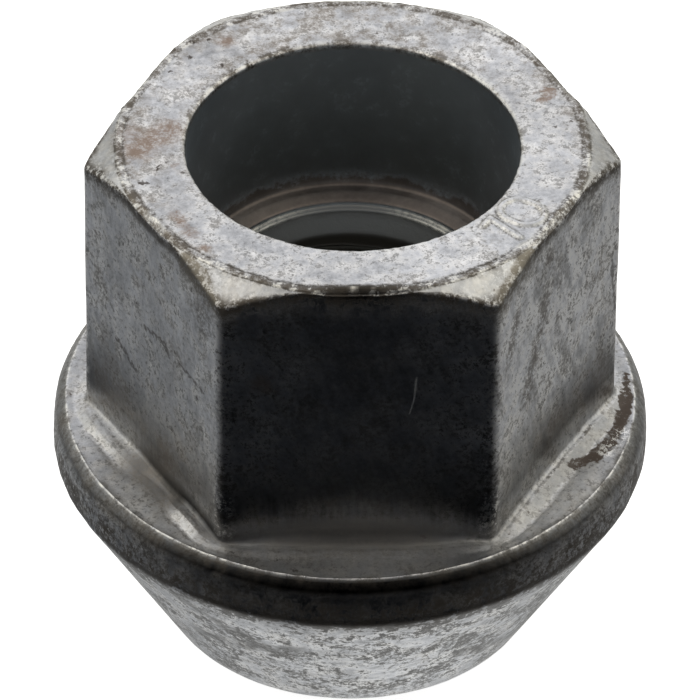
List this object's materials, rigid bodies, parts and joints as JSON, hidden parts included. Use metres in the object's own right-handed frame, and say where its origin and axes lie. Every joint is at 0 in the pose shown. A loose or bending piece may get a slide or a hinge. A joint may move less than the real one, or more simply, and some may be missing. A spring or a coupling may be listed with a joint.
{
  "type": "wheel nut",
  "caption": "Open-ended hexagon wheel nut with a round collar, a 60 degree conical seat and a deep plain counterbore above its thread.",
  "frame": {"origin": "centre of the flat end face at the small end of the conical seat, which the nut stands on", "axes": "+Z along the nut's axis, from the small end of the seat towards the hexagon's open end; one flat of the hexagon faces -Y, and two of its corners lie on the X axis"},
  "size_m": [0.0246, 0.0246, 0.0231],
  "materials": {
    "zinc_steel": "zinc-plated steel, mottled and worn, satin"
  },
  "bodies": {
    "root": {"wheel_nut": "zinc_steel"}
  },
  "joints": []
}
